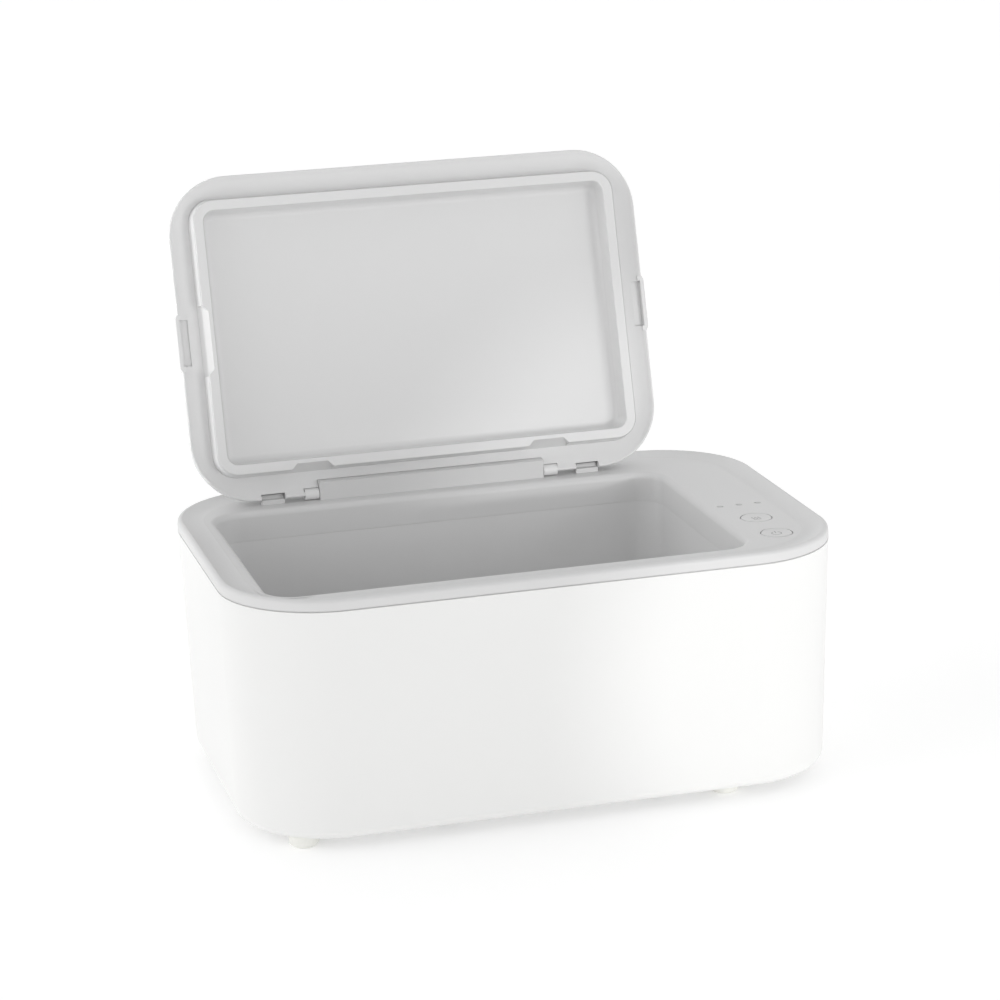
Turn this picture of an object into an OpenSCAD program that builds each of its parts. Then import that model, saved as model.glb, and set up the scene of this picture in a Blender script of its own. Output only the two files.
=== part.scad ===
// Baby wipe warmer: a heated tub for a stack of moist wipes in a rounded
// casing, with a hinged lid over the tub and two keys on a deck beside it.
// The lid is drawn open, as it rests on its stop. Millimetres, +Z up, the
// front at -Y, the origin on the table under the middle of the open object.

/* [Casing] */
// Width of the body, side to side
body_w = 290; // [275:1:320]
// Depth of the body, front to back
body_d = 197; // [188:1:225]
// Height from the table to the lip round the top
body_h = 120.2; // [112:0.2:140]
// Plan radius of the body's corners
corner_r = 49; // [42:1:56]
// Lean of the casing's walls, in degrees
draft = 1.66; // [0:0.02:2.4]
// Wall thickness of the casing
wall = 2.4; // [1.8:0.1:3]
// Radius of the casing's lower edge
sole_r = 5.2; // [3:0.1:6.5]
// Height of the feet
foot_h = 5.5; // [4:0.1:8]
// Diameter of a foot
foot_d = 14; // [10:0.5:18]
// Depth of the shallow seats that the feet are glued into
foot_seat = 0.8; // [0.4:0.1:1.2]
// Thickness of the plate that closes the casing from below
plate_t = 2.4; // [2:0.1:3]

/* [Top frame] */
// Height of the coloured band above the casing
band_h = 5.8; // [4:0.1:8]
// Drop from the lip to the deck
deck_drop = 1.8; // [1:0.1:3]
// Thickness of the deck
deck_t = 2.4; // [2:0.1:3]
// Radius of the outer edge of the lip
lip_r = 2; // [1:0.1:2.2]
// Height and depth of the parting groove under the band
groove = 0.6; // [0.3:0.1:1]
// Deck left of the tub's mouth
deck_left = 18.2; // [17:0.1:22]
// Deck in front of the tub's mouth
deck_front = 18.3; // [17:0.1:22]
// Deck behind the tub's mouth, which carries the hinge
deck_rear = 36.5; // [34:0.1:46]
// Control deck right of the tub's mouth
panel_w = 45.8; // [43:0.1:60]
// Radius of the roll-over into the tub's mouth
mouth_r = 3; // [2:0.1:4]
// Depth of the frame's collar in the tub's mouth
collar_h = 14.6; // [10:0.1:20]
// Thickness of the collar
collar_t = 2; // [1.6:0.1:2.4]

/* [Tub] */
// Depth from the deck to the tub's floor
tub_depth = 82; // [70:1:84]
// Plan radius of the tub's corners
tub_r = 14; // [12:0.5:17]
// Wall thickness of the tub
tub_t = 1.6; // [1.2:0.1:2]
// Radius between the tub's walls and its floor
tub_floor_r = 8; // [4:0.5:9]
// Width of the rim that hangs the tub under the collar
tub_rim = 3.2; // [2.6:0.1:3.3]

/* [Heater] */
// Width of the heater
heater_w = 168; // [130:1:190]
// Depth of the heater, front to back
heater_d = 96; // [70:1:110]
// Thickness of the aluminium plate that spreads the heat
spreader_t = 1; // [0.8:0.1:2]
// Thickness of the heating film
film_t = 0.6; // [0.4:0.1:1]
// Thickness of the insulating foam
foam_t = 6; // [4:0.5:8]

/* [Lid] */
// Lap of the lid past the tub's mouth at the sides and the front
lid_lap = 5.7; // [5:0.1:6.5]
// Lap of the lid past the mouth at the rear
lid_rear_lap = 12; // [11:0.1:14]
// Plan radius of the lid's corners
lid_r = 30.4; // [27:0.2:32]
// Height of the lid above its lower edge
lid_h = 17; // [15.8:0.1:20]
// Radius of the dome's upper edge
dome_r = 14.5; // [11:0.5:14.5]
// Wall thickness of the lid's shell
lid_t = 2.2; // [1.8:0.1:2.4]
// Depth of the hollow all round the underside of the rim
cove = 3.4; // [2.4:0.1:3.6]
// Angle from shut to fully open, in degrees
lid_open = 106.2; // [100:0.1:108]
// Length of the finger slot in each side
finger_l = 22.8; // [18:0.2:28]
// Bulge of the thin lip outside a finger slot
finger_bulge = 1.2; // [0.8:0.1:1.6]

/* [Liner] */
// Width of the liner's rim
liner_rim = 5; // [4.4:0.1:5.6]
// Plan radius of the liner's outer corners
liner_r = 10.5; // [9.5:0.1:12]
// Depth that the liner dips into the tub's mouth
liner_dip = 4.4; // [3:0.1:6]
// Depth of the tray inside the liner's rim
tray_depth = 12; // [9:0.1:12.5]
// Radius between the tray's walls and its floor
tray_r = 3.4; // [1:0.1:3.6]
// Gap from the liner's rim to the mouth at the sides and the front
liner_gap = 6.3; // [5.6:0.1:7.5]
// Gap from the liner's rim to the mouth at the rear
liner_rear_gap = 1.3; // [1.1:0.1:2.5]
// Depth of the clip notches in the liner's rim
notch_t = 3; // [2:0.1:3.4]
// Length of the notch in the left side of the rim
side_notch = 28.4; // [20:0.2:36]
// Length of each notch in the rear of the rim
rear_notch = 15.2; // [10:0.2:20]
// Distance from the lid's middle to each rear notch
notch_x = 60.2; // [50:0.2:70]

/* [Hinge] */
// Diameter of the steel pin
pin_d = 3; // [2.5:0.1:3.2]
// Height of the pin's axis above the deck
pin_rise = 3.1; // [3.1:0.05:3.8]
// Length of the hinge bar on the deck
bar_w = 114.4; // [90:0.2:130]
// Radius of the hinge bar round the pin
bar_r = 6.4; // [5.6:0.1:6.8]
// Length of each lid lug that turns on the pin
lug_w = 7; // [5:0.5:9]
// Distance from the lid's middle to each stop block
stop_x = 80.3; // [74:0.1:86]
// Width of a stop block
stop_w = 11.4; // [8:0.1:14]
// Height of a stop block above the deck
stop_h = 4.4; // [3.6:0.1:4.8]

/* [Keys] */
// Diameter of a key
key_d = 14.8; // [12:0.1:17]
// Distance from the body's front to the front key
key_front = 33.9; // [30:0.1:40]
// Distance between the two keys
key_pitch = 27.5; // [24:0.1:32]
// Depth of the dish in a key's top
key_dish = 0.5; // [0.2:0.1:0.8]
// Travel of a key
key_travel = 0.6; // [0.4:0.05:1]
// Diameter of a light guide
guide_d = 3; // [2:0.1:3.6]
// Distance between the light guides
guide_pitch = 9.5; // [7:0.1:11]

/* [Clearances] */
// Gap between pieces that move past each other
gap = 0.3; // [0.25:0.05:0.4]
// Radial clearance of the lugs on the pin
pin_fit = 0.05; // [0.02:0.01:0.08]
// Gap between fitted pieces of one body
seat = 0.1; // [0.05:0.01:0.2]

/* [Hidden] */
$fn = 96;

white = "white";
grey = "gainsboro";
far = 400;
cut = 0.5;

// Heights, from the table up
ledge_t = 2.4;
plate_top = foot_h + plate_t;
ledge_z = plate_top + ledge_t;
seam_z = body_h - band_h;
deck_z = body_h - deck_drop;
deck_low = deck_z - deck_t;
collar_z = deck_z - collar_h;
tub_floor = deck_z - tub_depth;
spreader_z = tub_floor - tub_t - spreader_t;
film_z = spreader_z - film_t;
foam_z = film_z - foam_t;

// The casing's ledge, which the base plate is screwed to
sole_w = 9.2 + sole_r * 0.35;
ledge_w = sole_w + 11;
plate_in = sole_w + gap;

// The tub's mouth
tub_w = body_w - deck_left - panel_w;
tub_d = body_d - deck_front - deck_rear;
tub_x = (deck_left - panel_w) / 2;
tub_y = (deck_front - deck_rear) / 2;
tub_back = body_d / 2 - deck_rear;

// The shut lid
rim_z = deck_z + gap + 0.1;
lid_w = tub_w + 2 * lid_lap;
lid_d = tub_d + lid_lap + lid_rear_lap;
lid_y = tub_y + (lid_rear_lap - lid_lap) / 2;
lid_back = tub_back + lid_rear_lap;
lid_top = rim_z + lid_h;
liner_w = tub_w - 2 * liner_gap;
liner_d = tub_d - liner_gap - liner_rear_gap;
liner_y = tub_y + (liner_gap - liner_rear_gap) / 2;
liner_z = deck_z - liner_dip;
tray_z = liner_z + tray_depth;
web_z = rim_z + cove + 2.4;
liner_base = 1.2;
liner_lean = 1.4;

// The arc of the rim's hollow, from the lid's outline inward
cove_in = 0.9;
cove_w = 11;
cove_r = (cove_w * cove_w + cove * cove) / (2 * cove);

// Finger slots, from the lid's outline inward
slot_out = 1;
slot_w = 4.4;
slot_h = 3.2;
bulge_h = 6.2;

// The hinge. The lid leans back from upright by the angle lean.
pin_y = lid_back - 1;
pin_z = deck_z + pin_rise;
lean = lid_open - 90;
lug_r = pin_rise - gap;
bar_face = 2.7;
sweep_r = bar_r + 0.5;
close_t = 1.2;
pin_l = bar_w + 2 * (gap + lug_w);
stop_front = 1.4;
stop_back = 2.4;
stop_r = 1.4;
notch_front = stop_front + gap + 0.2;
notch_edge = -0.6;
notch_meet = (notch_edge - stop_back * sin(lean)) / cos(lean);
notch_roof = stop_back * cos(lean) - notch_meet * sin(lean) + seat;

// The middle of the open object, front to back, is the origin
dome_z = lid_top - dome_r;
lid_front = tub_y - tub_d / 2 - lid_lap;
lid_reach = pin_y + (pin_y - lid_front - dome_r) * sin(lean) + (dome_z - pin_z) * cos(lean) + dome_r;
frame_y = (body_d / 2 - lid_reach) / 2;

// The control deck
panel_x = body_w / 2 - panel_w / 2 - 5.2;
power_key_y = key_front - body_d / 2;
heat_key_y = power_key_y + key_pitch;
guide_y = heat_key_y + 24.4;
key_hole_d = key_d + 2 * gap;
key_flange_t = 1.4;
key_proud = 0.2;

// The control board
board_t = 1.6;
board_top = deck_low - 8;
board_w = 24;
board_y0 = power_key_y - 14;
board_y1 = guide_y + 44;
board_x = tub_x + tub_w / 2 + tub_rim + 1.4 + board_w / 2;
chip_w = 9;
chip_t = 2.4;
cap_d = 8;
cap_h = 9;
switch_h = 3.5;
switch_w = 6;
stem_d = 3.2;
stem_in = 0.5;

// Posts that tie the top frame to the casing, as place and wall direction
post_in = 10;
post_r = 4.3;
post_top = collar_z + 0.2;
post_web = 4;
head_t = 2;
frame_screw_l = 12;
posts = [
    [-(body_w / 2 - post_in), -34, 180],
    [-(body_w / 2 - post_in), 34, 180],
    [body_w / 2 - post_in + 1, -42, 0],
    [body_w / 2 - post_in + 1, 38, 0],
    [-70, body_d / 2 - post_in, 90],
    [70, body_d / 2 - post_in, 90]];
screw_r = 1.25;
head_r = 2.6;
head_h = 1.2;

// Ribs on the base plate that carry the heater
rib_t = 2;
rib_x = heater_w * 0.36;
rib_y = heater_d * 0.3;
rib_l = heater_d - 12;

// Screws of the base plate, on the middle of the ledge
rail = (sole_w + ledge_w) / 2;
base_holes = [
    [-(body_w / 2 - rail - 3), 4], [body_w / 2 - rail - 3, 4],
    [-50, -(body_d / 2 - rail - 3)], [50, -(body_d / 2 - rail - 3)],
    [-50, body_d / 2 - rail - 3], [50, body_d / 2 - rail - 3]];

// Feet under the corners of the tub
foot_x = 100.7;
foot_y = body_d / 2 - 19.5;
feet = [for (sx = [-1, 1], sy = [-1, 1]) [tub_x - 2.4 + sx * foot_x, sy * foot_y]];

// Thermostat and fuse in the foam's windows, from the tub's middle
sensor_x = 34;
sensor_r = 7.2;
fuse_x = -34;
fuse_d = 4;
fuse_l = 12;

// Screws of the control board, and its two connectors
board_holes = [
    [board_x - board_w / 2 + 3.4, board_y0 + 3.4], [board_x + board_w / 2 - 3.4, board_y0 + 3.4],
    [board_x - board_w / 2 + 3.4, board_y1 - 3.4], [board_x + board_w / 2 - 3.4, board_y1 - 3.4]];
plug_x = board_x - 3;
plug_h = 5.6;
plug_low = board_top - board_t - plug_h;
heater_plug_y = heat_key_y + 14.5;
inlet_plug_y = board_y1 - 11.5;

// Wires
wire_r = 0.8;
wire_pitch = 3.2;
bend_r = 5;

// Supply socket in the rear wall
inlet_x = 84;
inlet_z = 24;
inlet_d = 8.4;
inlet_l = 16;

function wall_x(z) = -tan(draft) * (seam_z - z);

// Moves a piece from the body's frame to the part's origin
module in_place() {
    translate([0, frame_y, 0]) children();
}

// Turns a piece drawn on the shut lid to where the lid rests open
module lid_place() {
    translate([0, pin_y, pin_z])
        rotate([-lid_open, 0, 0])
            translate([0, -pin_y, -pin_z])
                children();
}

// Rounded rectangle of the width w and depth d
module slab_2d(w, d, r) {
    square([w - 2 * r, d], center = true);
    square([w, d - 2 * r], center = true);
    for (sx = [-1, 1], sy = [-1, 1])
        translate([sx * (w / 2 - r), sy * (d / 2 - r)]) circle(r);
}

module slab(w, d, r, h) {
    linear_extrude(h) slab_2d(w, d, r);
}

// Runs a profile round a rounded rectangle. The profile's x is measured
// outward from the outline and its y is the height.
module around(w, d, r) {
    for (c = [[1, 1, 0], [-1, 1, 90], [-1, -1, 180], [1, -1, 270]])
        translate([c[0] * (w / 2 - r), c[1] * (d / 2 - r), 0])
            rotate([0, 0, c[2]])
                rotate_extrude(angle = 90)
                    translate([r, 0]) children();
    for (a = [0, 180])
        rotate([0, 0, a])
            translate([w / 2, 0, 0])
                rotate([90, 0, 0])
                    linear_extrude(d - 2 * r, center = true) children();
    for (a = [90, 270])
        rotate([0, 0, a])
            translate([d / 2, 0, 0])
                rotate([90, 0, 0])
                    linear_extrude(w - 2 * r, center = true) children();
}

// What a round of radius r takes off a profile's corner at p. The edges
// leave the corner in the directions of the angles a and b.
module round_off(p, a, b, r) {
    half = abs(a - b) / 2;
    mid = (a + b) / 2;
    reach = r / tan(half);
    centre = p + r / sin(half) * [cos(mid), sin(mid)];
    difference() {
        polygon([p - 0.2 * [cos(mid), sin(mid)], p + reach * [cos(a), sin(a)], centre,
            p + reach * [cos(b), sin(b)]]);
        translate(centre) circle(r);
    }
}

// Wall, rounded sole and ledge of the casing
module casing_profile() {
    difference() {
        polygon([[0, seam_z], [wall_x(foot_h), foot_h], [-sole_w, foot_h], [-sole_w, plate_top],
            [-ledge_w, plate_top], [-ledge_w, ledge_z], [wall_x(ledge_z) - wall, ledge_z],
            [-wall, seam_z]]);
        round_off([wall_x(foot_h), foot_h], 90 - draft, 180, sole_r);
    }
}

module outer_casing() {
    color(white) in_place() {
        difference() {
            union() {
                around(body_w, body_d, corner_r) casing_profile();
                for (p = posts) translate([p[0], p[1], plate_top]) casing_post(p[2]);
                for (p = base_holes) translate([p[0], p[1], plate_top]) cylinder(h = 12, r = 3.6);
            }
            for (p = posts)
                translate([p[0], p[1], plate_top - cut]) cylinder(h = post_top - plate_top - post_web + cut, r = 3);
            for (p = posts) translate([p[0], p[1], plate_top]) cylinder(h = far, r = screw_r + 0.3);
            for (p = base_holes) translate([p[0], p[1], plate_top - cut]) cylinder(h = 10, r = screw_r);
            translate([inlet_x, body_d / 2 - 12, inlet_z])
                rotate([-90, 0, 0]) cylinder(h = far, d = inlet_d + 2 * seat);
            foot_seats();
        }
    }
}

// Hollow post with a web to the wall beside it
module casing_post(a) {
    cylinder(h = post_top - plate_top, r = post_r);
    rotate([0, 0, a])
        translate([0, -1, 0]) cube([post_in - 5, 2, post_top - plate_top - post_web]);
}

// Shallow seats under the casing and the base plate for the feet
module foot_seats() {
    for (p = feet) translate([p[0], p[1], foot_h - cut]) cylinder(h = cut + foot_seat, r = foot_d / 2 + seat);
}

module base_plate() {
    color(white) in_place() {
        difference() {
            union() {
                translate([0, 0, foot_h])
                    slab(body_w - 2 * plate_in, body_d - 2 * plate_in, corner_r - plate_in, plate_t - seat);
                for (x = [-1, 0, 1])
                    translate([tub_x + x * rib_x - rib_t / 2, tub_y - rib_l / 2, plate_top - 1])
                        cube([rib_t, rib_l, foam_z - plate_top + 1]);
                for (y = [-1, 1])
                    translate([tub_x - rib_x, tub_y + y * rib_y - rib_t / 2, plate_top - 1])
                        cube([2 * rib_x, rib_t, foam_z - plate_top + 1]);
            }
            for (p = base_holes) translate([p[0], p[1], foot_h - cut]) cylinder(h = far, r = screw_r + 0.3);
            for (p = base_holes)
                translate([p[0], p[1], foot_h - cut]) cylinder(h = cut + head_h, r = head_r + gap);
            foot_seats();
        }
    }
}

// Rounded pads in their seats
module rubber_feet() {
    color(white) in_place()
        for (p = feet)
            translate([p[0], p[1], 0]) rotate_extrude() difference() {
                square([foot_d / 2, foot_h + foot_seat]);
                round_off([foot_d / 2, 0], 90, 180, 2.2);
            }
}

module base_screws() {
    color("silver") in_place()
        for (p = base_holes) {
            translate([p[0], p[1], foot_h]) cylinder(h = head_h, r = head_r);
            translate([p[0], p[1], foot_h + head_h]) cylinder(h = 9, r = screw_r - 0.05);
        }
}

// Band, lip, valley, deck and the tongue that centres the frame
module frame_profile() {
    inner = min(deck_left, deck_front) - collar_t;
    tongue = wall + gap + 0.1;
    difference() {
        polygon([[0, seam_z], [0, body_h], [-9, body_h], [-9, deck_z], [-inner, deck_z],
            [-inner, deck_low], [-tongue - 2, deck_low], [-tongue - 2, seam_z - 7],
            [-tongue, seam_z - 7], [-tongue, seam_z]]);
        translate([-groove, seam_z - cut]) square([far, groove + cut]);
        round_off([0, body_h], 180, 270, lip_r);
        translate([-9.6, deck_z - 0.3 + 14]) circle(14);
    }
}

// Collar round the tub's mouth, seen from the mouth's outline
module collar_profile() {
    translate([0, collar_z]) square([collar_t, collar_h]);
    translate([0, deck_low]) square([mouth_r + 1, deck_t]);
}

module top_frame() {
    color(grey) in_place() {
        difference() {
            union() {
                difference() {
                    union() {
                        around(body_w, body_d, corner_r) frame_profile();
                        translate([0, 0, deck_low]) slab(body_w - 26, body_d - 26, corner_r - 13, deck_t);
                    }
                    translate([tub_x, tub_y, deck_low - cut]) slab(tub_w, tub_d, tub_r, far);
                }
                translate([tub_x, tub_y, 0]) around(tub_w, tub_d, tub_r) collar_profile();
                hinge_bar();
                for (s = [-1, 1]) translate([tub_x + s * stop_x, pin_y, deck_z]) stop_block();
                for (p = posts)
                    translate([p[0], p[1], post_top]) cylinder(h = deck_z - 1 - post_top, r = 3.6);
                for (p = board_holes)
                    translate([p[0], p[1], board_top]) cylinder(h = deck_z - 1 - board_top, r = 2.6);
                guide_block();
            }
            translate([tub_x, tub_y, 0]) around(tub_w, tub_d, tub_r) round_off([0, deck_z], 0, -90, mouth_r);
            translate([tub_x - far / 2, pin_y, pin_z]) rotate([0, 90, 0]) cylinder(h = far, d = pin_d);
            for (p = posts) translate([p[0], p[1], post_top - cut]) cylinder(h = 10, r = screw_r);
            for (p = board_holes) translate([p[0], p[1], board_top - cut]) cylinder(h = 6.5, r = 1);
            for (y = [heat_key_y, power_key_y])
                translate([panel_x, y, deck_low - far / 2]) cylinder(h = far, d = key_hole_d);
            for (i = [-1:1])
                translate([panel_x + i * guide_pitch, guide_y, board_top])
                    cylinder(h = far, d = guide_d + 2 * seat);
        }
    }
}

// Bar that carries the pin across the deck, round behind and flat in front
module hinge_bar() {
    translate([tub_x - bar_w / 2, pin_y, pin_z])
        rotate([90, 0, 90])
            linear_extrude(bar_w)
                intersection() {
                    union() {
                        circle(bar_r);
                        translate([-bar_face, -pin_rise - 1]) square([bar_face + bar_r - 0.6, pin_rise + 1]);
                    }
                    translate([-bar_face, -pin_rise - 1]) square([far, pin_rise + 1 + bar_r]);
                }
}

// Block on the deck that the open lid rests against
module stop_block() {
    intersection() {
        translate([-stop_w / 2, 0, 0]) rotate([90, 0, 90]) linear_extrude(stop_w)
            difference() {
                translate([-stop_front, -1]) square([stop_front + stop_back, stop_h + 1]);
                round_off([-stop_front, stop_h], 270, 360, stop_r);
                round_off([stop_back, stop_h], 180, 270, stop_r);
            }
        translate([0, far / 2, 0]) rotate([90, 0, 0]) linear_extrude(far)
            difference() {
                translate([-stop_w / 2, -1]) square([stop_w, stop_h + 1]);
                round_off([-stop_w / 2, stop_h], 270, 360, stop_r);
                round_off([stop_w / 2, stop_h], 180, 270, stop_r);
            }
    }
}

// Block under the deck that holds the light guides
module guide_block() {
    side = guide_d + 3;
    translate([panel_x - guide_pitch - side / 2, guide_y - side / 2, deck_low - 3])
        cube([2 * guide_pitch + side, side, 4]);
}

module frame_screws() {
    color("silver") in_place()
        for (p = posts) {
            translate([p[0], p[1], post_top - post_web - head_t]) cylinder(h = head_t, r = head_r);
            translate([p[0], p[1], post_top - post_web])
                cylinder(h = frame_screw_l, r = screw_r - 0.05);
        }
}

// Tub wall with its hanging rim and the round into the floor
module tub_profile() {
    lean = tan(draft) * (collar_z - tub_floor);
    low = tub_floor - tub_t;
    difference() {
        polygon([[0, collar_z], [tub_rim, collar_z], [tub_rim, collar_z - tub_t], [tub_t, collar_z - tub_t],
            [tub_t - lean, low], [-tub_r * 0.7, low], [-tub_r * 0.7, collar_z]]);
        difference() {
            polygon([[0, collar_z + cut], [0, collar_z], [-lean, tub_floor], [-far, tub_floor],
                [-far, collar_z + cut]]);
            round_off([-lean, tub_floor], 90 - draft, 180, tub_floor_r);
        }
        round_off([tub_t - lean, low], 90 - draft, 180, tub_floor_r + tub_t);
    }
}

module tub() {
    lean = tan(draft) * (collar_z - tub_floor);
    color("darkgray") in_place() translate([tub_x, tub_y, 0]) {
        around(tub_w, tub_d, tub_r) tub_profile();
        translate([0, 0, tub_floor - tub_t])
            slab(tub_w - 2 * (tub_r * 0.7 - 1), tub_d - 2 * (tub_r * 0.7 - 1), tub_r * 0.3 + 1, tub_t);
    }
}

module heat_spreader() {
    color("silver") in_place()
        translate([tub_x, tub_y, spreader_z]) slab(heater_w, heater_d, 6, spreader_t);
}

module heating_film() {
    color("orange") in_place() translate([tub_x, tub_y, film_z]) {
        slab(heater_w - 6, heater_d - 6, 5, film_t);
        translate([heater_w / 2 - 8, heater_plug_y - tub_y - 7, 0]) cube([14, 14, film_t]);
    }
}

// Foam under the film, with windows for the thermostat and the fuse
module insulation_foam() {
    color("dimgray") in_place() translate([tub_x, tub_y, foam_z])
        difference() {
            slab(heater_w - 4, heater_d - 4, 5, foam_t);
            translate([sensor_x, 0, -cut]) cylinder(h = far, r = sensor_r + 1);
            translate([fuse_x, 0, foam_t / 2])
                cube([fuse_d + 2, fuse_l + 4, foam_t + 2 * cut], center = true);
        }
}

module thermostat() {
    color("dimgray") in_place() translate([tub_x + sensor_x, tub_y, film_z]) {
        translate([0, 0, -2]) cylinder(h = 2, r = sensor_r);
        translate([0, 0, -6]) cylinder(h = 4.2, r = sensor_r - 1);
        for (s = [-1, 1]) translate([s * 3 - 1.2, -0.4, -10]) cube([2.4, 0.8, 4.2]);
    }
}

module thermal_fuse() {
    color("white") in_place() translate([tub_x + fuse_x, tub_y, film_z - fuse_d / 2]) rotate([90, 0, 0]) {
        cylinder(h = fuse_l, d = fuse_d - 0.05, center = true);
        cylinder(h = fuse_l + 3.4, d = 1, center = true);
    }
}

module control_board() {
    color("seagreen") in_place() {
        difference() {
            translate([board_x - board_w / 2, board_y0, board_top - board_t])
                cube([board_w, board_y1 - board_y0, board_t]);
            for (p = board_holes) translate([p[0], p[1], board_top - far / 2]) cylinder(h = far, r = 1.3);
        }
        // Regulator, capacitor and connectors on the underside
        translate([board_x - 4, guide_y + 8, board_top - board_t - chip_t]) cube([chip_w, chip_w, chip_t]);
        translate([board_x, guide_y + 26, board_top - board_t - cap_h]) cylinder(h = cap_h, d = cap_d);
        for (y = [heater_plug_y, inlet_plug_y])
            translate([plug_x - 2.8, y - 4, plug_low]) cube([5.6, 8, plug_h]);
    }
}

module board_screws() {
    color("silver") in_place()
        for (p = board_holes) {
            translate([p[0], p[1], board_top - board_t - 1.4]) cylinder(h = 1.4, r = 2);
            translate([p[0], p[1], board_top - board_t]) cylinder(h = board_t + 5, r = 0.95);
        }
}

module tact_switches() {
    color("dimgray") in_place()
        for (y = [heat_key_y, power_key_y])
            difference() {
                translate([panel_x - switch_w / 2, y - switch_w / 2, board_top])
                    cube([switch_w, switch_w, switch_h]);
                translate([panel_x, y, board_top + switch_h - stem_in - key_travel - gap])
                    cylinder(h = far, d = stem_d + 2 * gap);
            }
}

module indicator_leds() {
    color("lightyellow") in_place()
        for (i = [-1:1])
            translate([panel_x + i * guide_pitch - 1.6, guide_y - 0.8, board_top]) cube([3.2, 1.6, 1.4]);
}

module light_guides() {
    color("whitesmoke") in_place()
        for (i = [-1:1])
            translate([panel_x + i * guide_pitch, guide_y, board_top + 1.7])
                cylinder(h = deck_z - board_top - 1.7, d = guide_d);
}

// Barrel socket for the supply, with its body behind the casing's wall
module power_inlet() {
    face = body_d / 2 + wall_x(inlet_z) + 0.2;
    color("black") in_place() translate([inlet_x, face, inlet_z]) difference() {
        union() {
            rotate([90, 0, 0]) cylinder(h = 8, d = inlet_d);
            translate([-6, -inlet_l, ledge_z + gap - inlet_z]) cube([12, 12.6, inlet_z - ledge_z + 4]);
        }
        rotate([90, 0, 0]) translate([0, 0, -cut]) difference() {
            cylinder(h = 10, d = 5.5);
            cylinder(h = 10, d = 2);
        }
    }
}

// Wire along the points p, which turn at right angles
module wire(p) {
    last = len(p) - 1;
    for (i = [0:last - 1]) {
        run = p[i + 1] - p[i];
        dir = run / norm(run);
        from = i == 0 ? 0 : bend_r;
        to = norm(run) - (i == last - 1 ? 0 : bend_r);
        translate(p[i] + dir * from)
            rotate([0, acos(dir[2]), atan2(dir[1], dir[0])])
                cylinder(h = to - from, r = wire_r);
    }
    for (i = [1:last - 1]) {
        u = (p[i] - p[i - 1]) / norm(p[i] - p[i - 1]);
        v = (p[i + 1] - p[i]) / norm(p[i + 1] - p[i]);
        w = cross(-v, u);
        c = p[i] + bend_r * (v - u);
        multmatrix([[-v[0], u[0], w[0], c[0]], [-v[1], u[1], w[1], c[1]], [-v[2], u[2], w[2], c[2]]])
            rotate_extrude(angle = 90) translate([bend_r, 0]) circle(wire_r);
    }
}

// Pair of wires from the film's tab up to the board
module heater_leads() {
    z = film_z + film_t / 2;
    color("firebrick") in_place()
        for (s = [-1, 1]) {
            y = heater_plug_y + s * wire_pitch / 2;
            wire([[tub_x + heater_w / 2 + 6, y, z], [plug_x, y, z], [plug_x, y, plug_low]]);
        }
}

// Pair of wires from the supply socket up to the board
module inlet_leads() {
    back = body_d / 2 + wall_x(inlet_z) + 0.2 - inlet_l;
    color("black") in_place()
        for (s = [-1, 1]) {
            x = inlet_x + s * wire_pitch / 2;
            y = inlet_plug_y + s * wire_pitch / 2;
            wire([[x, back, inlet_z], [x, y, inlet_z], [plug_x, y, inlet_z], [plug_x, y, plug_low]]);
        }
}

module hinge_pin() {
    color("silver") in_place()
        translate([tub_x - pin_l / 2, pin_y, pin_z]) rotate([0, 90, 0]) cylinder(h = pin_l, d = pin_d);
}

// Wall of the dome, from the rim's edge up to the flat top
module dome_profile() {
    difference() {
        union() {
            translate([-lid_t, rim_z]) square([lid_t, dome_z - rim_z]);
            intersection() {
                translate([-dome_r, dome_z]) circle(dome_r);
                translate([-dome_r, dome_z]) square(dome_r);
            }
            translate([-dome_r - 1, lid_top - lid_t]) square([1.1, lid_t]);
        }
        translate([-dome_r, dome_z]) circle(dome_r - lid_t);
        round_off([0, rim_z], 90, 180, cove_in);
        cove_arc();
    }
}

// Round of the hollow under the rim
module cove_arc() {
    translate([-cove_in - cove_w, rim_z + cove - cove_r]) circle(cove_r);
}

// Space that the hinge bar needs in the shut and the turning lid
module bar_sweep() {
    translate([tub_x - bar_w / 2 - gap, pin_y, pin_z])
        rotate([0, 90, 0]) cylinder(h = bar_w + 2 * gap, r = sweep_r);
}

// Lugs at the ends of the hinge bar
module lid_lugs() {
    for (s = [-1, 1])
        translate([tub_x + s * (bar_w / 2 + gap + lug_w / 2), pin_y, pin_z]) {
            rotate([0, 90, 0]) cylinder(h = lug_w, r = lug_r, center = true);
            translate([-lug_w / 2, 1 - lid_t, 0]) cube([lug_w, lid_t, dome_z - pin_z + 3]);
        }
}

// Notches in the lid's rear edge that clear the stop blocks. The roof of
// each comes down on the rear face of its block when the lid is open.
module stop_notches() {
    for (s = [-1, 1])
        translate([tub_x + s * stop_x - stop_w / 2 - gap, pin_y - notch_front, rim_z - cut])
            cube([stop_w + 2 * gap, far, pin_z + notch_roof - rim_z + cut]);
}

// Thin lips that bulge out beside the finger slots, with slanted ends
module finger_bulges() {
    end = 2.4;
    for (s = [-1, 1])
        translate([tub_x + s * lid_w / 2, lid_y, rim_z])
            intersection() {
                linear_extrude(bulge_h + 6)
                    polygon([[-s * lid_t, -finger_l / 2 - end], [0, -finger_l / 2 - end],
                        [s * finger_bulge, -finger_l / 2], [s * finger_bulge, finger_l / 2],
                        [0, finger_l / 2 + end], [-s * lid_t, finger_l / 2 + end]]);
                rotate([90, 0, 0]) linear_extrude(far, center = true)
                    polygon([[-s * lid_t, 0], [s * (finger_bulge - 0.5), 0], [s * finger_bulge, 0.8],
                        [s * finger_bulge, bulge_h - 2], [-s * 1.6, bulge_h + 4.6],
                        [-s * lid_t, bulge_h + 2]]);
            }
}

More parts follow.
